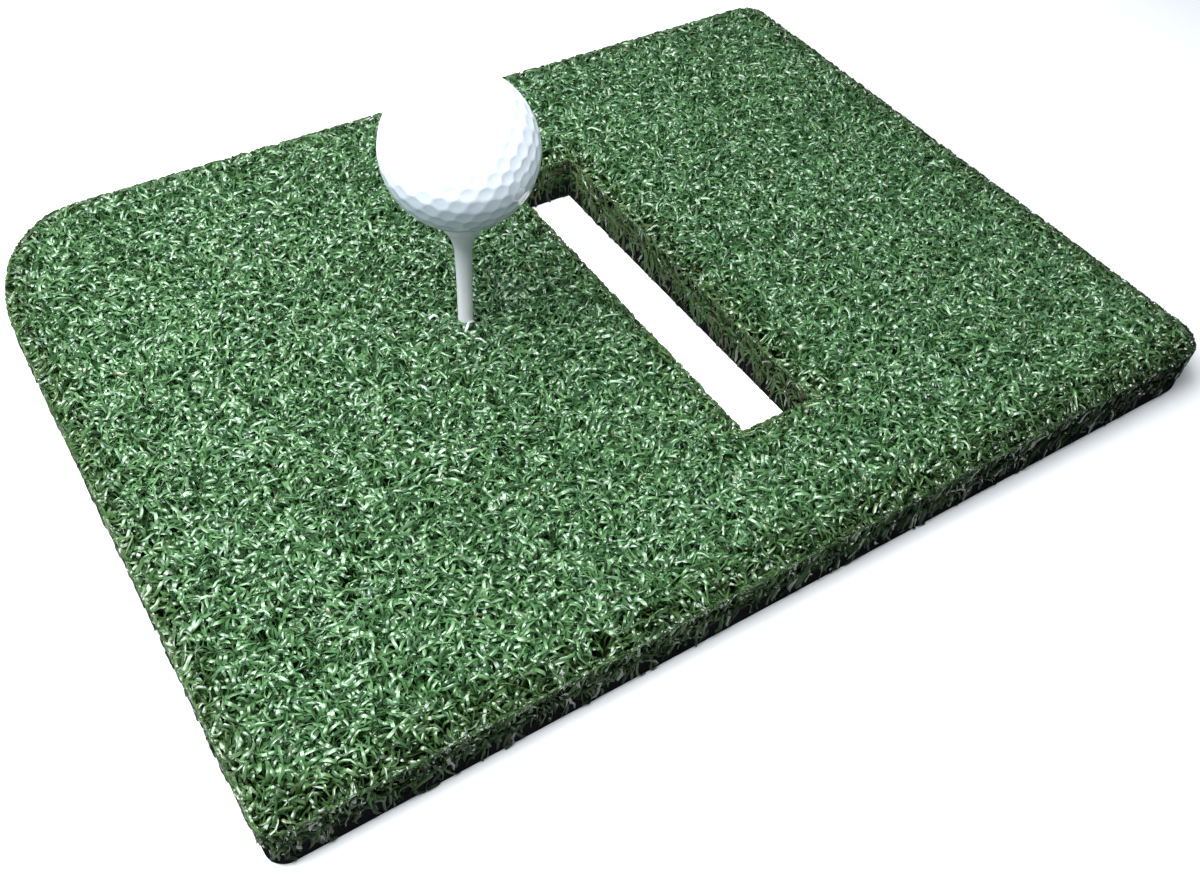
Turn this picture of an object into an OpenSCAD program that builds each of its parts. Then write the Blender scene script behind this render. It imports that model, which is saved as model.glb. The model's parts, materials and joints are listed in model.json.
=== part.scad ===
// Small artificial-turf golf hitting mat on a rubber base, with a through slot, a tee and a ball.
// The origin is at the centre of the mat's underside, +X along its length, +Z up.

/* [Mat] */
// Length of the mat along X
mat_w = 305; // [250:1:400]
// Depth of the mat along Y
mat_d = 230; // [200:1:300]
// Reach along X of the far left corner's long rounding
corner_far_left_x = 32; // [2:1:60]
// Reach along Y of the far left corner's long rounding
corner_far_left_y = 50; // [2:1:60]
// Radius of the far right corner
corner_far_right = 8; // [2:1:40]
// Radius of the near right corner
corner_near_right = 11; // [2:1:40]
// Radius of the near left corner
corner_near_left = 5; // [2:1:40]

/* [Layers] */
// Thickness of the black rubber base
base_t = 6; // [4:0.5:12]
// Thickness of the latex coat that bonds the turf to the base
coat_t = 0.8; // [0.4:0.1:2]
// Thickness of the woven cloth that the pile is tufted through
backing_t = 0.7; // [0.4:0.1:1.5]
// Height of the pile above the woven cloth
pile_h = 11.5; // [8:0.5:20]

/* [Slot] */
// Width of the through slot along X
slot_w = 26; // [15:0.5:40]
// Length of the through slot along Y
slot_l = 133; // [60:1:170]
// X of the slot's centre
slot_x = 18.6; // [10:0.1:60]
// Y of the slot's centre
slot_y = -6; // [-10:0.5:10]

/* [Tee] */
// X of the tee's axis
tee_x = -39.8; // [-80:0.1:-30]
// Y of the tee's axis
tee_y = 3.8; // [-30:0.1:30]
// Overall length of the tee
tee_len = 54; // [50:1:60]
// Depth of the tee's tip below the top of the pile
tee_sink = 16.9; // [10:0.1:18]
// Diameter of the straight part of the shaft
shaft_d = 4.5; // [3.5:0.1:5]
// Diameter of the neck, where the flare begins
neck_d = 5; // [5:0.1:6]
// Diameter of the head
head_d = 12; // [11:0.5:13]
// Length of the pointed tip
tip_len = 7; // [5:0.5:10]
// Diameter of the blunt end of the point
tip_d = 1; // [0.6:0.1:1.5]
// Length of the slow taper between the straight shaft and the flare
taper_len = 12; // [8:1:16]
// Radius of the hollow curve of the flare
flare_r = 18; // [8:0.5:22]
// Height of the straight band around the head
band_h = 3.4; // [3:0.1:6]
// Width of the flat lip around the dish
lip_w = 0.6; // [0.3:0.1:1]

/* [Ball] */
// Outer diameter of the ball
ball_d = 42.67; // [42.67:0.01:43]
// Thickness of the ball's moulded cover
cover_t = 0.8; // [0.5:0.05:1.5]
// Thickness of the firm layer under the cover
mantle_t = 0.85; // [0.6:0.05:1.5]

/* [Hidden] */
$fn = 96;

// Heights of the layers' lower faces, from the floor up
coat_z = base_t;
backing_z = coat_z + coat_t;
pile_z = backing_z + backing_t;
mat_h = pile_z + pile_h;

// The shaft slides in a hole through every layer with this radial clearance
hole_gap = 0.05;
hole_d = shaft_d + 2 * hole_gap;

// The ball sits in a dish whose radius leaves this gap
seat_gap = 0.065;
ball_r = ball_d / 2;
seat_r = ball_r + seat_gap;
head_r = head_d / 2;
shaft_r = shaft_d / 2;
tee_z = mat_h - tee_sink;
rim_z = tee_z + tee_len;
dish_r = head_r - lip_w;
ball_z = rim_z + sqrt(pow(seat_r, 2) - pow(dish_r, 2));

// The flare leaves the neck upright and curves out to the head
neck_r = neck_d / 2;
flare_h = sqrt(pow(flare_r, 2) - pow(flare_r - head_r + neck_r, 2));
flare_z = tee_len - band_h - flare_h;

// Cutters reach this far past the faces they cut
over = 1;

// Removes what lies outside the rounding of one corner: sx and sy are -1 or 1, rx and ry its reach
module corner_cut(sx, sy, rx, ry) {
    translate([sx * (mat_w / 2 - rx), sy * (mat_d / 2 - ry)])
        mirror([sx < 0 ? 1 : 0, 0])
            mirror([0, sy < 0 ? 1 : 0])
                difference() {
                    square([rx + over, ry + over]);
                    scale([1, ry / rx]) circle(rx);
                }
}

// Plan of every layer: rounded corners, the slot and the tee's hole
module mat_plan() {
    difference() {
        square([mat_w, mat_d], center = true);
        corner_cut(-1, 1, corner_far_left_x, corner_far_left_y);
        corner_cut(1, 1, corner_far_right, corner_far_right);
        corner_cut(1, -1, corner_near_right, corner_near_right);
        corner_cut(-1, -1, corner_near_left, corner_near_left);
        translate([slot_x, slot_y]) square([slot_w, slot_l], center = true);
        translate([tee_x, tee_y]) circle(d = hole_d);
    }
}

// One layer of the mat, from its lower face up
module layer(z, thickness) {
    translate([0, 0, z]) linear_extrude(thickness) mat_plan();
}

// A hollow ball about the golf ball's centre
module ball_layer(outer_r, inner_r) {
    translate([tee_x, tee_y, ball_z])
        difference() {
            sphere(outer_r);
            sphere(inner_r);
        }
}

// Dense black rubber sheet that lies on the floor
module rubber_base() {
    color([0.03, 0.03, 0.035]) layer(0, base_t);
}

// Dark latex film that locks the tufts and bonds the turf to the base
module latex_coat() {
    color([0.12, 0.12, 0.12]) layer(coat_z, coat_t);
}

// Woven cloth that carries the tufts
module primary_backing() {
    color([0.07, 0.12, 0.08]) layer(backing_z, backing_t);
}

// Envelope of the dense curled nylon pile
module turf_pile() {
    color([0.26, 0.4, 0.25]) layer(pile_z, pile_h);
}

// Half section of the tee: pointed tip, slim shaft, hollow flare and a banded head
module tee_section() {
    polygon([
        [0, 0],
        [tip_d / 2, 0],
        [shaft_r, tip_len],
        [shaft_r, flare_z - taper_len],
        [neck_r, flare_z],
        [0, flare_z],
    ]);
    difference() {
        translate([0, flare_z]) square([head_r, flare_h + band_h]);
        translate([neck_r + flare_r, flare_z]) circle(flare_r);
    }
}

// Turned tee with a dish for the ball
module tee() {
    color([0.88, 0.87, 0.84])
        difference() {
            translate([tee_x, tee_y, tee_z]) rotate_extrude() tee_section();
            translate([tee_x, tee_y, ball_z]) sphere(seat_r);
        }
}

// Moulded outer skin of the ball
module ball_cover() {
    color([0.95, 0.95, 0.96]) ball_layer(ball_r, ball_r - cover_t);
}

// Firm layer between the cover and the core
module ball_mantle() {
    color([0.7, 0.75, 0.85]) ball_layer(ball_r - cover_t, ball_r - cover_t - mantle_t);
}

// Solid rubber core
module ball_core() {
    color([0.55, 0.3, 0.25])
        translate([tee_x, tee_y, ball_z]) sphere(ball_r - cover_t - mantle_t);
}

rubber_base();
latex_coat();
primary_backing();
turf_pile();
tee();
ball_cover();
ball_mantle();
ball_core();
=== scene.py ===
"""Looks of a golf hitting mat: curled nylon turf on a black rubber base, with a slot, a tee and a ball."""
import json
import math

import bpy
import bmesh
import numpy as np
from mathutils import Matrix, Vector


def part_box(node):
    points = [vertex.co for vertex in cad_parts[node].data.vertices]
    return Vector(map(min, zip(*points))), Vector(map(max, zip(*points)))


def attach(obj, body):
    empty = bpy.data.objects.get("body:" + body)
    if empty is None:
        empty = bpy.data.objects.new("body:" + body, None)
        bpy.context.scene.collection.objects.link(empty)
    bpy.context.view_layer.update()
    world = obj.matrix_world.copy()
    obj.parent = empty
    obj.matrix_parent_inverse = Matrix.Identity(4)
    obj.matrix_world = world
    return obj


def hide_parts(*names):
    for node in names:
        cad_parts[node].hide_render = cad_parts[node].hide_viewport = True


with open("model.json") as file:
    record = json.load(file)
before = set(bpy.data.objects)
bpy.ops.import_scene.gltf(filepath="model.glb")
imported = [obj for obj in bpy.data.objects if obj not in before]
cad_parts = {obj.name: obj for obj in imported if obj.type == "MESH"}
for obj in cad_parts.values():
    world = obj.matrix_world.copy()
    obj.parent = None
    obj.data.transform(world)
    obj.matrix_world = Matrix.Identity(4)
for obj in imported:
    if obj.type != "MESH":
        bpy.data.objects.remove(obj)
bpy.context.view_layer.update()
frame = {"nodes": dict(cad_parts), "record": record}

MM = 0.001
SEED = 20

# ---------------------------------------------------------------- places, from the frame
pile_lo, pile_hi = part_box("turf_pile")
slot_mount = next(m for m in frame["record"]["mounts"] if m["name"] == "slot")
tee_lo, tee_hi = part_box("tee")
ball_lo, ball_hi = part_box("ball_cover")
mantle_lo, mantle_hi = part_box("ball_mantle")
PILE_Z = pile_lo.z
PILE_H = pile_hi.z - pile_lo.z
TEE_AXIS = (tee_lo + tee_hi) / 2
TEE_SHAFT_R = 2.25 * MM
BALL_CENTRE = (ball_lo + ball_hi) / 2
BALL_R = (ball_hi.x - ball_lo.x) / 2
COVER_INNER_R = (mantle_hi.x - mantle_lo.x) / 2

# ---------------------------------------------------------------- turf
# How many fibres grow and where: tufts all over, and more fibres close inside the cut edges
TUFT_PITCH = 1.78 * MM
FIBRES_PER_TUFT = 4
TUFT_SPREAD = 0.5 * MM
EDGE_MARGIN = 0.7 * MM
EDGE_PITCH = 0.1 * MM
EDGE_DEPTH = 3.0 * MM
TEE_CLEAR = TEE_SHAFT_R + 0.45 * MM
TILES_X, TILES_Y = 6, 5
# Their form: a flat ribbon, whose height drops to a shoulder near a cut edge, with some hung over the edge
FIBRE_WIDTH = 0.80 * MM
FIBRE_THICKNESS = 0.16 * MM
SHORTEST_RISE = 0.6
EDGE_REACH = 6.0 * MM
SHOULDER = 0.68
TUFT_TOGETHER = 0.3
DRAPED_AT_RIM = 0.6
DRAPED_IN_SLOT = 0.8
DROOP_SHARE = 0.5
CURLED_LENGTH = (5.0 * MM, 12.0 * MM)
DROOPED_AT_RIM = (6.0 * MM, 19.0 * MM)
DROOPED_IN_SLOT = (8.0 * MM, 24.0 * MM)
HELD_WITHIN = 12 * MM
OVERHANG_AT_RIM = (0.1 * MM, 0.6 * MM)
OVERHANG_IN_SLOT = (0.1 * MM, 0.5 * MM)
BASE_CLEAR = 0.24 * MM
LOWEST_AT_RIM = (0.3 * MM, 3.0 * MM)
LOWEST_IN_SLOT = (0.2 * MM, 1.0 * MM)
# Their colour: a tint from 0 to 1, and a shade painted near a cut edge, deepest along the near side
TINT_TOP = 0.93
TUFT_LIKENESS = 0.3
PALE_ROUND_TEE = 4.4 * MM
PALE_TINTS = [0.6, 0.75, 0.82, 0.98, 1.0]
SHADE_REACH = 11 * MM
EDGE_SHADE = 0.46
NEAR_SIDE_SHADE = 0.6
TOWARDS_NEAR_SIDE = np.array([0.5, -0.85])
RIM_DEPTH = (0.8 * MM, 4.0 * MM)
DULL_AT_RIM = 0.76
DULL_IN_SLOT = 0.93
DULL_TINT_AT_RIM = (0.18, 0.80)
DULL_TINT_IN_SLOT = (0.3, 0.95)
# Share of each fibre's length at which a ring of its tube lies: close together in the curled top
RING_AT = np.array([0.0, 0.34, 0.52, 0.64, 0.74, 0.83, 0.92, 1.0])
SIDES = 3


def outline_edges(node, z):
    """Edges (n, 2, 2) of the face of a CAD node at height z: its rim and the slot, not the tee's hole."""
    mesh = frame["nodes"][node].data
    at_z = [abs(v.co.z - z) < 1e-6 for v in mesh.vertices]
    place = [(round(v.co.x, 7), round(v.co.y, 7)) for v in mesh.vertices]
    seen = {}
    for face in mesh.polygons:
        if abs(face.normal.z) < 0.9 or not all(at_z[i] for i in face.vertices):
            continue
        ring = [place[i] for i in face.vertices]
        for a, b in zip(ring, ring[1:] + ring[:1]):
            key = (min(a, b), max(a, b))
            seen[key] = seen.get(key, 0) + 1
    edges = np.array([key for key, count in sorted(seen.items()) if count == 1])
    from_tee = np.linalg.norm(edges.mean(axis=1) - np.array(TEE_AXIS[:2]), axis=1)
    return edges[from_tee > 2 * TEE_SHAFT_R]


def inside(points, edges):
    """True for each point that lies on the mat's material in plan, by counting crossings."""
    a, b = edges[:, 0], edges[:, 1]
    odd = np.zeros(len(points), bool)
    for (ax, ay), (bx, by) in zip(a, b):
        if ay == by:
            continue
        spans = (ay > points[:, 1]) != (by > points[:, 1])
        at_x = ax + (points[:, 1] - ay) * (bx - ax) / (by - ay)
        odd ^= spans & (points[:, 0] < at_x)
    return odd


def nearest_edge(points, edges):
    """Distance from each point to the outline, and the unit vector towards it."""
    best = np.full(len(points), 1e9)
    toward = np.zeros_like(points)
    for a, b in edges:
        span = b - a
        share = np.clip((points - a) @ span / (span @ span), 0, 1)
        gap = a + share[:, None] * span - points
        distance = np.linalg.norm(gap, axis=1)
        closer = distance < best
        best[closer] = distance[closer]
        toward[closer] = gap[closer]
    return best, toward / np.maximum(best, 1e-9)[:, None]


def faces_slot(roots, toward):
    """True where the nearest cut edge is the slot's, not the mat's rim."""
    to_slot = np.array(slot_mount["pos_m"][:2]) - roots
    return (to_slot * toward).sum(axis=1) > 0


def tuft_roots(rng):
    """Foot of every fibre, a few to a tuft, with the tufts on a jittered grid."""
    xs = np.arange(pile_lo.x, pile_hi.x, TUFT_PITCH)
    ys = np.arange(pile_lo.y, pile_hi.y, TUFT_PITCH)
    grid = np.stack(np.meshgrid(xs, ys), -1).reshape(-1, 2)
    grid = grid + rng.uniform(-0.45, 0.45, grid.shape) * TUFT_PITCH
    roots = np.repeat(grid, FIBRES_PER_TUFT, axis=0)
    roots = roots + rng.normal(0, TUFT_SPREAD, roots.shape)
    tuft = np.repeat(np.arange(len(grid)), FIBRES_PER_TUFT)
    return roots, tuft


def edge_roots(rng, edges):
    """More feet close inside every cut edge, where the side of the pile shows."""
    roots = []
    for a, b in edges:
        length = np.linalg.norm(b - a)
        along = rng.random(max(1, int(length / EDGE_PITCH)))
        normal = np.array([a[1] - b[1], b[0] - a[0]]) / length
        inset = rng.uniform(EDGE_MARGIN, EDGE_DEPTH, len(along)) * rng.choice([-1, 1], len(along))
        roots.append(a + along[:, None] * (b - a) + inset[:, None] * normal)
    return np.concatenate(roots)


def fibre_roots(rng, edges):
    """Feet, tuft numbers, distance and direction to the nearest edge, and which fibres hang over it."""
    roots, tuft = tuft_roots(rng)
    extra = edge_roots(rng, edges)
    at_edge = np.concatenate([np.zeros(len(roots), bool), np.ones(len(extra), bool)])
    tuft = np.concatenate([tuft, tuft.max() + 1 + np.arange(len(extra))])
    roots = np.concatenate([roots, extra])
    keep = inside(roots, edges)
    roots, tuft, at_edge = roots[keep], tuft[keep], at_edge[keep]
    distance, toward = nearest_edge(roots, edges)
    share = np.where(faces_slot(roots, toward), DRAPED_IN_SLOT, DRAPED_AT_RIM)
    draped = at_edge & (rng.random(len(roots)) < share)
    from_tee = np.linalg.norm(roots - np.array(TEE_AXIS[:2]), axis=1)
    keep = (distance > EDGE_MARGIN) & (from_tee > TEE_CLEAR)
    return roots[keep], tuft[keep], distance[keep], toward[keep], draped[keep]


def smooth(x):
    x = np.clip(x, 0, 1)
    return x * x * (3 - 2 * x)


def fibre_paths(rng, roots, tuft, distance, toward, draped, edges):
    """Centre line (fibres, rings, 3) of each fibre: up from the cloth, crimped, with its tip curled over."""
    n, rings = len(roots), len(RING_AT)
    tuft_turn = rng.uniform(0, 2 * np.pi, tuft.max() + 1)
    heading = np.where(rng.random(n) < TUFT_TOGETHER, tuft_turn[tuft], rng.uniform(0, 2 * np.pi, n))
    lean = np.abs(rng.normal(0, 0.25, n))
    over = rng.uniform(1.2, 2.9, n)
    hook_from = rng.uniform(0.42, 0.68, n)
    hook_to = np.ones(n)
    curl = rng.normal(0, 1.3, n)
    wave, wave_turn = rng.uniform(0.15, 0.5, (2, n))
    phase, phase_turn = rng.uniform(0, 2 * np.pi, (2, n))
    waves = rng.uniform(2.0, 3.4, n)

    # Near an edge the fibres have no neighbours to hold them up, so they turn and lean out over it
    spill = np.clip(1 - distance / EDGE_REACH, 0, 1)
    outward = np.arctan2(toward[:, 1], toward[:, 0])
    swing = (outward - heading + np.pi) % (2 * np.pi) - np.pi
    heading = heading + swing * spill * rng.uniform(0.4, 1.0, n)
    lean = lean + spill * rng.uniform(0.0, 0.5, n)
    over = over + spill * rng.uniform(0.0, 0.7, n)
    # Over the edge itself some fibres droop and the others curl out to the side
    hung = draped.sum()
    droops = rng.random(hung) < DROOP_SHARE
    heading[draped] = outward[draped] + rng.normal(0, 1, hung) * np.where(droops, 0.8, 1.1)
    lean[draped] = np.where(droops, rng.uniform(0.4, 1.5, hung), rng.uniform(0.0, 0.8, hung))
    over[draped] = np.where(droops, rng.uniform(2.2, 3.1, hung), rng.uniform(1.4, 2.9, hung))
    hook_from[draped] = np.where(droops, rng.uniform(0.0, 0.15, hung), rng.uniform(0.1, 0.35, hung))
    hook_to[draped] = rng.uniform(0.5, 0.9, hung)
    wave[draped] = rng.uniform(0.3, 0.9, hung)
    wave_turn[draped] = rng.uniform(0.4, 1.2, hung)
    waves[draped] = rng.uniform(1.2, 2.2, hung)

    direction = np.zeros((n, rings, 3))
    for k, t in enumerate(RING_AT):
        grow = np.clip((t - 0.2) / 0.4, 0, 1)
        polar = lean + (over - lean) * smooth((t - hook_from) / (hook_to - hook_from))
        polar = polar + grow * wave * np.sin(2 * np.pi * waves * t + phase)
        turn = heading + curl * t * t + grow * wave_turn * 1.5 * np.sin(2 * np.pi * waves * t + phase_turn)
        direction[:, k, 0] = np.sin(polar) * np.cos(turn)
        direction[:, k, 1] = np.sin(polar) * np.sin(turn)
        direction[:, k, 2] = np.cos(polar)

    step = np.diff(RING_AT)
    mid = (direction[:, 1:] + direction[:, :-1]) / 2
    path = np.concatenate([np.zeros((n, 1, 3)), np.cumsum(mid * step[None, :, None], axis=1)], axis=1)
    full = smooth(distance / EDGE_REACH)
    height = PILE_H * (1.0 - (0.10 + 0.20 * full) * rng.random(n) ** 1.6)
    height *= 1 - 0.08 * rng.random(tuft.max() + 1)[tuft]
    height *= SHOULDER + (1 - SHOULDER) * full
    length = height / np.maximum(path[:, :, 2].max(axis=1), SHORTEST_RISE)
    tallest = SHOULDER * PILE_H / np.maximum(path[draped, :, 2].max(axis=1), 0.1)
    at_slot = faces_slot(roots[draped], toward[draped])
    drooped = np.where(at_slot, rng.uniform(*DROOPED_IN_SLOT, hung), rng.uniform(*DROOPED_AT_RIM, hung))
    reach = np.where(droops, drooped, rng.uniform(*CURLED_LENGTH, hung))
    length[draped] = np.minimum(reach, tallest)
    path *= length[:, None, None]
    path[:, :, :2] += roots[:, None, :]
    path[:, :, 2] += PILE_Z

    hold_in(rng, path, roots, distance, toward, edges)
    # The tee pushes the fibres aside
    around = path[:, :, :2] - np.array(TEE_AXIS[:2])
    gap = np.linalg.norm(around, axis=2, keepdims=True)
    path[:, :, :2] += around / gap * np.maximum(TEE_CLEAR - gap, 0)
    return path


def hold_in(rng, path, roots, distance, toward, edges):
    """Bends back what would reach past a cut edge, and lets it hang close outside. Changes path."""
    rings = path.shape[1]
    near = np.nonzero(distance < HELD_WITHIN)[0]
    at_slot = faces_slot(roots[near], toward[near])
    count = len(near)
    overhang = np.where(at_slot, rng.uniform(*OVERHANG_IN_SLOT, count), rng.uniform(*OVERHANG_AT_RIM, count))
    reach = ((path[near, :, :2] - roots[near, None]) * toward[near, None]).sum(axis=2)
    excess = np.maximum(reach - (distance[near] + overhang)[:, None], 0)
    path[near, :, :2] -= excess[:, :, None] * toward[near, None]
    flat = path[near, :, :2].reshape(-1, 2)
    gap, back = nearest_edge(flat, edges)
    out = ~inside(flat, edges)
    low = path[near, :, 2].ravel() < PILE_Z + FIBRE_WIDTH
    wanted = np.where(low, np.maximum(gap, BASE_CLEAR), gap)
    kept = np.minimum(wanted, np.maximum(np.repeat(overhang, rings), BASE_CLEAR))
    shift = np.where(out, gap - kept, 0)
    path[near, :, :2] += (back * shift[:, None]).reshape(count, rings, 2)
    lowest = np.where(at_slot, rng.uniform(*LOWEST_IN_SLOT, count), rng.uniform(*LOWEST_AT_RIM, count))
    lowest = np.repeat(lowest, rings)
    floor = np.full(path.shape[:2], PILE_Z)
    floor[near] = np.where(out, lowest, PILE_Z).reshape(count, rings)
    path[:, :, 2] = np.maximum(path[:, :, 2], floor)
    shoulder = smooth(np.where(out, 0, gap) / EDGE_REACH)
    ceiling = PILE_Z + PILE_H * (SHOULDER + (1 - SHOULDER) * shoulder)
    path[near, :, 2] = np.minimum(path[near, :, 2], ceiling.reshape(count, rings))


def unit(v):
    return v / np.maximum(np.linalg.norm(v, axis=-1, keepdims=True), 1e-12)


def fibre_ribbons(rng, path):
    """Corners (fibres, rings, sides, 3) of a flat ribbon with a ridged back along each centre line."""
    n, rings = path.shape[:2]
    tangent = np.empty_like(path)
    tangent[:, 1:-1] = path[:, 2:] - path[:, :-2]
    tangent[:, 0] = path[:, 1] - path[:, 0]
    tangent[:, -1] = path[:, -1] - path[:, -2]
    tangent = unit(tangent)
    # A ribbon bends across its flat, so its width starts square to the way its tip goes, give or take
    bend = unit(path[:, -1] - path[:, 0] + rng.normal(0, 0.1 * MM, (n, 3)))
    side = unit(np.cross(tangent[:, 0], bend) + rng.normal(0, 0.45, (n, 3)))
    twist = rng.normal(0, 0.22, n)
    width = FIBRE_WIDTH * rng.uniform(0.7, 1.2, n)
    corners = np.empty((n, rings, SIDES, 3))
    for k in range(rings):
        t = tangent[:, k]
        side = unit(side - (side * t).sum(1, keepdims=True) * t)
        back = np.cross(t, side)
        side = unit(side * np.cos(twist)[:, None] + back * np.sin(twist)[:, None])
        back = np.cross(t, side)
        half = (width * (0.5 if k < rings - 1 else 0.3))[:, None]
        corners[:, k, 0] = path[:, k] - side * half
        corners[:, k, 1] = path[:, k] + side * half
        corners[:, k, 2] = path[:, k] + back * FIBRE_THICKNESS
    return corners


def tube_faces(rings):
    """Quads along one tube, and its two end triangles, as corner numbers."""
    quads = []
    for k in range(rings - 1):
        for s in range(SIDES):
            e = (s + 1) % SIDES
            quads.append((k * SIDES + s, k * SIDES + e, (k + 1) * SIDES + e, (k + 1) * SIDES + s))
    last = (rings - 1) * SIDES
    return np.array(quads), np.array([(2, 1, 0), (last, last + 1, last + 2)])


def sharpen_sides(mesh):
    """Marks the two long edges of every ribbon sharp, so that its flats shade flat across."""
    ends = np.empty(len(mesh.edges) * 2, np.int32)
    mesh.edges.foreach_get("vertices", ends)
    ends = np.sort(ends.reshape(-1, 2), axis=1)
    long_edge = (ends[:, 1] - ends[:, 0] == SIDES) & (ends[:, 0] % SIDES < 2)
    mesh.edges.foreach_set("use_edge_sharp", long_edge)


def turf_tile(name, corners, tint, light, dull, materials):
    """One mesh of many fibres, each with its tint, its painted shade and its own texture cell."""
    n, rings = corners.shape[:2]
    per = rings * SIDES
    quads, ends = tube_faces(rings)
    base = (np.arange(n) * per)[:, None]
    loop_of_one = np.concatenate([quads.ravel(), ends.ravel()])
    loops = (base + loop_of_one).ravel()
    sizes = np.tile([4] * len(quads) + [3] * len(ends), n)
    starts = np.concatenate([[0], np.cumsum(sizes)[:-1]])

    mesh = bpy.data.meshes.new(name)
    mesh.vertices.add(n * per)
    mesh.vertices.foreach_set("co", corners.reshape(-1).astype(np.float32))
    mesh.loops.add(len(loops))
    mesh.loops.foreach_set("vertex_index", loops.astype(np.int32))
    mesh.polygons.add(len(sizes))
    mesh.polygons.foreach_set("loop_start", starts.astype(np.int32))
    mesh.polygons.foreach_set("use_smooth", np.ones(len(sizes), bool))
    mesh.update(calc_edges=True)
    sharpen_sides(mesh)
    for material in materials:
        mesh.materials.append(material)
    which = np.repeat(dull, len(quads) + len(ends))
    mesh.polygons.foreach_set("material_index", which.astype(np.int32))

    tints = mesh.attributes.new("fibre_tint", "FLOAT", "POINT")
    tints.data.foreach_set("value", np.repeat(tint, per).astype(np.float32))
    # Painted shade: each fibre's colour darkens towards its foot (the base, for a dull fibre) and near a cut
    # edge
    foot_z = np.repeat(np.where(dull, 0, PILE_Z), per)
    painted_light = (corners[..., 2].reshape(-1) - foot_z) / (pile_hi.z - foot_z) * np.repeat(light, per)
    painted_light_layer = mesh.attributes.new("fibre_painted_light", "FLOAT", "POINT")
    painted_light_layer.data.foreach_set("value", painted_light.astype(np.float32))

    across = math.ceil(math.sqrt(n))
    cell = np.stack([np.arange(n) % across, np.arange(n) // across], 1)
    corner_u = np.array([0.1 + 0.3 * (i % SIDES) for i in range(per)])
    corner_v = np.repeat(0.1 + 0.8 * RING_AT, SIDES)
    one = np.stack([corner_u, corner_v], 1)[loop_of_one]
    uv = (cell[:, None, :] + one[None]) / across
    layer = mesh.uv_layers.new(name="OFBake")
    layer.data.foreach_set("uv", uv.reshape(-1).astype(np.float32))

    piece = bpy.data.objects.new(name, mesh)
    bpy.context.scene.collection.objects.link(piece)
    return piece


def fibre_shades(rng, roots, tuft, distance, toward, draped):
    """Tint of each fibre, the share of colour its painted shade leaves, and True where it is a dull one."""
    n = len(roots)
    tuft_tint = rng.random(tuft.max() + 1)
    tint = TINT_TOP * (TUFT_LIKENESS * tuft_tint[tuft] + (1 - TUFT_LIKENESS) * rng.random(n))
    round_tee = np.linalg.norm(roots - np.array(TEE_AXIS[:2]), axis=1) < PALE_ROUND_TEE
    tint[round_tee] = rng.choice(PALE_TINTS, round_tee.sum())
    at_slot = faces_slot(roots, toward)
    # Painted shade near a cut edge, deeper along the near side and towards its right end, kept as the share
    # of colour it leaves
    along = (roots[:, 0] - pile_lo.x) / (pile_hi.x - pile_lo.x)
    deeper_right = 0.75 + 0.75 * smooth((along - 0.4) / 0.6)
    on_near_side = np.clip(toward @ TOWARDS_NEAR_SIDE, 0, 1) * deeper_right * ~at_slot
    light = 1 - (EDGE_SHADE + NEAR_SIDE_SHADE * on_near_side) * np.clip(1 - distance / SHADE_REACH, 0, 1)
    dull = draped | (distance < rng.uniform(*RIM_DEPTH, n))
    dull &= rng.random(n) < np.where(at_slot, DULL_IN_SLOT, DULL_AT_RIM)
    dull_tint = np.where(at_slot, rng.uniform(*DULL_TINT_IN_SLOT, n), rng.uniform(*DULL_TINT_AT_RIM, n))
    # Painted shade: the dull fibres darken along the near side, most towards its right end
    dull_tint *= 1 - 0.5 * on_near_side * along
    tint[dull] = dull_tint[dull]
    return tint, light, dull


def make_turf(materials):
    """The pile, as tiles of many fibres each."""
    rng = np.random.default_rng(SEED)
    edges = outline_edges("turf_pile", pile_hi.z)
    roots, tuft, distance, toward, draped = fibre_roots(rng, edges)
    path = fibre_paths(rng, roots, tuft, distance, toward, draped, edges)
    corners = fibre_ribbons(rng, path)
    tint, light, dull = fibre_shades(rng, roots, tuft, distance, toward, draped)
    size = pile_hi - pile_lo
    column = np.clip(((roots[:, 0] - pile_lo.x) / size.x * TILES_X).astype(int), 0, TILES_X - 1)
    row = np.clip(((roots[:, 1] - pile_lo.y) / size.y * TILES_Y).astype(int), 0, TILES_Y - 1)
    tiles = []
    for i in range(TILES_X):
        for j in range(TILES_Y):
            here = (column == i) & (row == j)
            name = f"turf_fibres_{i + 1}_{j + 1}"
            tiles.append(turf_tile(name, corners[here], tint[here], light[here], dull[here], materials))
    for tile in tiles:
        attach(tile, "mat")
        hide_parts("turf_pile")
    print("fibres", len(roots), "most in a tile", max(len(t.data.polygons) for t in tiles))
    return tiles


# ---------------------------------------------------------------- ball
DIMPLE_FREQUENCY = 6
DIMPLE_R = 1.93 * MM
DIMPLE_DEPTH = 0.26 * MM
BALL_DIVISIONS = 7


def geodesic_points(frequency):
    """Unit vectors at the corners of an icosahedron whose faces are divided into smaller triangles."""
    bm = bmesh.new()
    bmesh.ops.create_icosphere(bm, subdivisions=1, radius=1)
    points = set()
    for face in bm.faces:
        a, b, c = (v.co for v in face.verts)
        for i in range(frequency + 1):
            for j in range(frequency + 1 - i):
                k = frequency - i - j
                p = ((a * i + b * j + c * k) / frequency).normalized()
                points.add((round(p.x, 5), round(p.y, 5), round(p.z, 5)))
    bm.free()
    return np.array(sorted(points))


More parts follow.
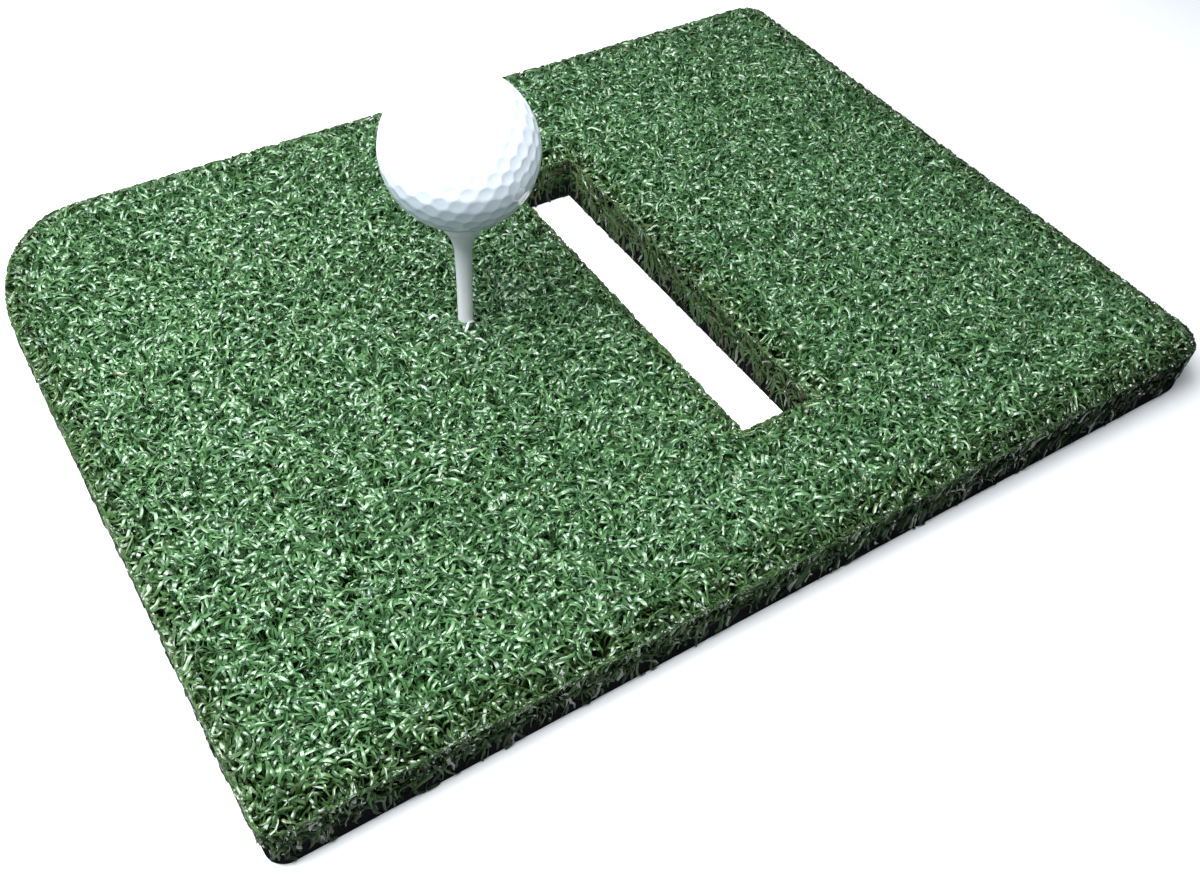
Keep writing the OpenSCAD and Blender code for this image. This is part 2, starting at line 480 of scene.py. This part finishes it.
def make_ball(material):
    """Shell of the ball: dimpled outside, smooth inside, where the mantle fits."""
    bm = bmesh.new()
    bmesh.ops.create_icosphere(bm, subdivisions=BALL_DIVISIONS, radius=1)
    bm.verts.ensure_lookup_table()
    normals = unit(np.array([v.co for v in bm.verts]))
    turned = geodesic_points(DIMPLE_FREQUENCY) @ np.array(Matrix.Rotation(0.35, 3, "X")).T
    angle = np.full(len(normals), 9.0)
    for start in range(0, len(normals), 4000):
        some = normals[start:start + 4000]
        angle[start:start + 4000] = np.arccos(np.clip((some @ turned.T).max(axis=1), -1, 1))
    reach = np.clip(1 - (angle * BALL_R / DIMPLE_R) ** 2, 0, 1)
    radius = BALL_R - DIMPLE_DEPTH * reach ** 0.8
    for v, n, r in zip(bm.verts, normals, radius):
        v.co = Vector(n * r)
    inner = bmesh.ops.create_icosphere(bm, subdivisions=5, radius=COVER_INNER_R)
    faces = {f for v in inner["verts"] for f in v.link_faces}
    bmesh.ops.reverse_faces(bm, faces=list(faces))
    for f in bm.faces:
        f.smooth = True
    bmesh.ops.translate(bm, verts=bm.verts, vec=BALL_CENTRE)
    mesh = bpy.data.meshes.new("ball_dimpled_cover")
    bm.to_mesh(mesh)
    bm.free()
    mesh.materials.append(material)
    piece = bpy.data.objects.new("ball_dimpled_cover", mesh)
    bpy.context.scene.collection.objects.link(piece)
    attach(piece, "ball")
    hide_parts("ball_cover")
    return piece


# ---------------------------------------------------------------- materials
def node_material(name, roughness, ior=1.5, specular=0.5):
    """A material with its nodes on, its links, and its Principled shader."""
    material = bpy.data.materials.new(name)
    material.use_nodes = True
    nodes, links = material.node_tree.nodes, material.node_tree.links
    shader = nodes["Principled BSDF"]
    shader.inputs["Roughness"].default_value = roughness
    shader.inputs["IOR"].default_value = ior
    shader.inputs["Specular IOR Level"].default_value = specular
    return material, nodes, links, shader


def ramp(nodes, stops, interpolation="LINEAR"):
    node = nodes.new("ShaderNodeValToRGB")
    node.color_ramp.interpolation = interpolation
    elements = node.color_ramp.elements
    while len(elements) < len(stops):
        elements.new(0.5)
    for element, (at, colour) in zip(elements, stops):
        element.position = at
        element.color = (*colour, 1)
    return node


def multiply(nodes, links, a, b, factor=1.0):
    node = nodes.new("ShaderNodeMix")
    node.data_type = "RGBA"
    node.blend_type = "MULTIPLY"
    node.inputs["Factor"].default_value = factor
    links.new(a, node.inputs["A"])
    links.new(b, node.inputs["B"])
    return node.outputs["Result"]


CURLED_COLOURS = [
    (0.00, (0.020, 0.062, 0.025)),
    (0.25, (0.037, 0.102, 0.036)),
    (0.50, (0.058, 0.144, 0.048)),
    (0.70, (0.084, 0.186, 0.068)),
    (0.82, (0.130, 0.236, 0.135)),
    (0.90, (0.075, 0.100, 0.036)),
    (0.94, (0.075, 0.100, 0.036)),
    (1.00, (0.480, 0.540, 0.500)),
]
# Painted shade on a curled fibre: darker and browner towards its foot and near a cut edge
CURLED_SHADE = [(0.0, (0.22, 0.21, 0.15)), (0.45, (0.62, 0.58, 0.42)), (0.9, (1, 1, 1))]
DULL_COLOURS = [
    (0.00, (0.008, 0.018, 0.007)),
    (0.30, (0.022, 0.052, 0.017)),
    (0.55, (0.064, 0.142, 0.046)),
    (0.75, (0.068, 0.104, 0.040)),
    (1.00, (0.080, 0.066, 0.040)),
]
# Painted shade on a dull fibre: darker towards the base and near a cut edge
DULL_SHADE = [
    (0.00, (0.18, 0.18, 0.18)),
    (0.12, (0.52, 0.52, 0.52)),
    (0.25, (0.66, 0.66, 0.66)),
    (0.45, (0.72, 0.72, 0.72)),
    (0.80, (1.00, 1.00, 1.00)),
]


def turf_material(name, tints, shades, roughness, specular):
    """Nylon whose colour follows the fibre's own tint, with painted shade that deepens towards its foot and
    near a cut edge.
    """
    material, nodes, links, shader = node_material(name, roughness, ior=1.6, specular=specular)
    tint = nodes.new("ShaderNodeAttribute")
    tint.attribute_name = "fibre_tint"
    light = nodes.new("ShaderNodeAttribute")
    light.attribute_name = "fibre_painted_light"
    colours, shade = ramp(nodes, tints), ramp(nodes, shades)
    links.new(tint.outputs["Fac"], colours.inputs["Fac"])
    links.new(light.outputs["Fac"], shade.inputs["Fac"])
    lit = multiply(nodes, links, colours.outputs["Color"], shade.outputs["Color"])
    links.new(lit, shader.inputs["Base Color"])
    return material


def noise(nodes, links, scale, detail=4, roughness=0.5, stretch=(1, 1, 1)):
    """Noise in object space, where one unit is a metre."""
    place = nodes.new("ShaderNodeTexCoord")
    mapping = nodes.new("ShaderNodeMapping")
    mapping.inputs["Scale"].default_value = stretch
    texture = nodes.new("ShaderNodeTexNoise")
    texture.inputs["Scale"].default_value = scale
    texture.inputs["Detail"].default_value = detail
    texture.inputs["Roughness"].default_value = roughness
    links.new(place.outputs["Object"], mapping.inputs["Vector"])
    links.new(mapping.outputs["Vector"], texture.inputs["Vector"])
    return texture.outputs["Fac"]


def bump(nodes, links, shader, height, strength, distance):
    node = nodes.new("ShaderNodeBump")
    node.inputs["Strength"].default_value = strength
    node.inputs["Distance"].default_value = distance
    links.new(height, node.inputs["Height"])
    links.new(node.outputs["Normal"], shader.inputs["Normal"])


def mottled(name, low, high, roughness, scale, bump_depth, specular=0.5):
    """A plain substance with a fine mottled colour and a matching grain."""
    material, nodes, links, shader = node_material(name, roughness, specular=specular)
    grain = noise(nodes, links, scale)
    colours = ramp(nodes, [(0.3, low), (0.7, high)])
    links.new(grain, colours.inputs["Fac"])
    links.new(colours.outputs["Color"], shader.inputs["Base Color"])
    bump(nodes, links, shader, grain, 0.6, bump_depth)
    return material


def fade_up(nodes, links, low, high, stops):
    """Colour that changes with height, between two heights of the object."""
    place = nodes.new("ShaderNodeSeparateXYZ")
    links.new(nodes.new("ShaderNodeTexCoord").outputs["Object"], place.inputs[0])
    share = nodes.new("ShaderNodeMapRange")
    share.inputs["From Min"].default_value = low
    share.inputs["From Max"].default_value = high
    links.new(place.outputs["Z"], share.inputs["Value"])
    fade = ramp(nodes, stops)
    links.new(share.outputs["Result"], fade.inputs["Fac"])
    return fade.outputs["Color"]


def ball_material(name):
    """Glossy cover with faint mottling, and a shade painted on its lower half."""
    material, nodes, links, shader = node_material(name, roughness=0.22)
    grain = noise(nodes, links, 300)
    white = ramp(nodes, [(0.3, (0.60, 0.65, 0.72)), (0.7, (0.64, 0.69, 0.76))])
    links.new(grain, white.inputs["Fac"])
    shades = [(0.05, (0.48, 0.51, 0.52)), (0.36, (0.54, 0.57, 0.58)), (0.52, (1, 1, 1))]
    shade = fade_up(nodes, links, ball_lo.z, ball_hi.z, shades)
    links.new(multiply(nodes, links, white.outputs["Color"], shade), shader.inputs["Base Color"])
    bump(nodes, links, shader, grain, 0.6, 0.01 * MM)
    return material


def tee_material(name, shadowed_cup, foot):
    """Painted wood with a fine grain along the shaft, greyer towards the cup: a painted shadow of the ball.
    """
    material, nodes, links, shader = node_material(name, roughness=0.35)
    grain = noise(nodes, links, 400, stretch=(1, 1, 0.08))
    streaks = ramp(nodes, [(0.3, (0.88, 0.88, 0.89)), (0.7, (1, 1, 1))])
    links.new(grain, streaks.inputs["Fac"])
    # Painted shadow of the ball on the upper shaft: the colour greys from the foot to the cup
    fade = fade_up(nodes, links, pile_hi.z, tee_hi.z, [(0.15, foot), (0.75, shadowed_cup)])
    links.new(multiply(nodes, links, fade, streaks.outputs["Color"]), shader.inputs["Base Color"])
    bump(nodes, links, shader, grain, 0.6, 0.02 * MM)
    return material


def finish_node(node, material):
    mesh = frame["nodes"][node].data
    mesh.materials.clear()
    mesh.materials.append(material)


make_turf([turf_material("curled_nylon", CURLED_COLOURS, CURLED_SHADE, 0.24, 0.62),
           turf_material("dull_nylon", DULL_COLOURS, DULL_SHADE, 0.5, 0.08)])
make_ball(ball_material("ball_urethane"))
finish_node("rubber_base", mottled(
    "black_rubber", (0.003, 0.003, 0.003), (0.009, 0.009, 0.010),
    roughness=0.85, scale=1500, bump_depth=0.1 * MM, specular=0))
finish_node("latex_coat", mottled(
    "latex", (0.012, 0.012, 0.012), (0.03, 0.03, 0.028),
    roughness=0.6, scale=900, bump_depth=0.1 * MM, specular=0))
finish_node("primary_backing", mottled(
    "woven_cloth", (0.008, 0.014, 0.008), (0.02, 0.032, 0.02),
    roughness=0.8, scale=1200, bump_depth=0.1 * MM, specular=0))
finish_node("tee", tee_material("painted_tee", shadowed_cup=(0.50, 0.54, 0.55), foot=(0.76, 0.77, 0.77)))
finish_node("ball_mantle", mottled(
    "ionomer_mantle", (0.30, 0.38, 0.56), (0.36, 0.44, 0.62),
    roughness=0.4, scale=400, bump_depth=0.02 * MM))
finish_node("ball_core", mottled(
    "core_rubber", (0.25, 0.06, 0.04), (0.32, 0.08, 0.05),
    roughness=0.7, scale=600, bump_depth=0.05 * MM))

# ---------------------------------------------------------------- floor, light and camera
FLOOR_SIZE = 8.0
FLOOR_GAP = 0.2 * MM
# How pale the floor is at each distance from its centre, in metres, with light and shade painted in: paler in
# the slot, where its walls shade it, and far out, where less light reaches; a little greyer close round the
# mat, where the lamps light it most
FLOOR_PAINTED_LIGHT = [(0.09, 0.93), (0.11, 0.70), (0.19, 0.74), (0.30, 0.97)]
floor_mesh = bpy.data.meshes.new("floor")
corner = FLOOR_SIZE / 2
corners = [(-corner, -corner, 0), (corner, -corner, 0), (corner, corner, 0), (-corner, corner, 0)]
floor_mesh.from_pydata(corners, [], [(0, 1, 2, 3)])
floor = bpy.data.objects.new("floor", floor_mesh)
floor.location.z = -FLOOR_GAP
bpy.context.scene.collection.objects.link(floor)
floor_white, floor_nodes, floor_links, floor_shader = node_material("pale_floor", roughness=0.9, specular=0)
from_centre = floor_nodes.new("ShaderNodeVectorMath")
from_centre.operation = "LENGTH"
floor_links.new(floor_nodes.new("ShaderNodeTexCoord").outputs["Object"], from_centre.inputs[0])
paler = ramp(floor_nodes, [(at, (grey, grey, grey)) for at, grey in FLOOR_PAINTED_LIGHT])
floor_links.new(from_centre.outputs["Value"], paler.inputs["Fac"])
floor_links.new(paler.outputs["Color"], floor_shader.inputs["Base Color"])
floor_mesh.materials.append(floor_white)


def direction_from(azimuth, elevation):
    """Unit vector towards a viewpoint, from its azimuth and elevation in degrees; 0, 0 is the near side."""
    a, e = math.radians(azimuth), math.radians(elevation)
    return Vector((math.sin(a) * math.cos(e), -math.cos(a) * math.cos(e), math.sin(e)))


def area_light(name, azimuth, elevation, distance, size, power, aim=(0, 0, 0), colour=(0.95, 0.98, 1.0)):
    """A square soft light that faces a point of the mat."""
    light = bpy.data.lights.new(name, "AREA")
    light.size = size
    light.energy = power
    light.color = colour
    lamp = bpy.data.objects.new(name, light)
    back = direction_from(azimuth, elevation)
    lamp.location = Vector(aim) + back * distance
    lamp.rotation_mode = "QUATERNION"
    lamp.rotation_quaternion = (-back).to_track_quat("-Z", "Y")
    lamp.visible_camera = False
    bpy.context.scene.collection.objects.link(lamp)


area_light("left_key", azimuth=-90, elevation=71, distance=0.44, size=0.34, power=4.2, aim=(-0.175, 0.035, 0))
area_light("front_key", azimuth=10, elevation=72, distance=0.50, size=0.34, power=3.5, aim=(-0.16, 0.015, 0))
area_light("back_key", azimuth=135, elevation=68, distance=0.50, size=0.36, power=1.7, aim=(-0.175, 0.03, 0))
world = bpy.data.worlds.new("studio")
world.use_nodes = True
world.node_tree.nodes["Background"].inputs["Color"].default_value = (0.65, 0.78, 1.0, 1)
world.node_tree.nodes["Background"].inputs["Strength"].default_value = 0.16
bpy.context.scene.world = world
bpy.context.scene.view_settings.view_transform = "Standard"

CAMERA_AZIMUTH, CAMERA_ELEVATION, CAMERA_ROLL = -36.0, 47.5, 4.4
CAMERA_DISTANCE = 349.6 * MM
CAMERA_AIM = Vector((-27.0, -50.3, 9.5)) * MM
camera_data = bpy.data.cameras.new("camera")
camera_data.lens = 37.46
camera_data.sensor_width = 36
camera_data.clip_start = 0.01
camera = bpy.data.objects.new("camera", camera_data)
back = direction_from(CAMERA_AZIMUTH, CAMERA_ELEVATION)
camera.location = CAMERA_AIM + back * CAMERA_DISTANCE
camera.rotation_mode = "QUATERNION"
roll = Matrix.Rotation(math.radians(CAMERA_ROLL), 3, "Z").to_quaternion()
camera.rotation_quaternion = back.to_track_quat("Z", "Y") @ roll
bpy.context.scene.collection.objects.link(camera)
bpy.context.scene.camera = camera
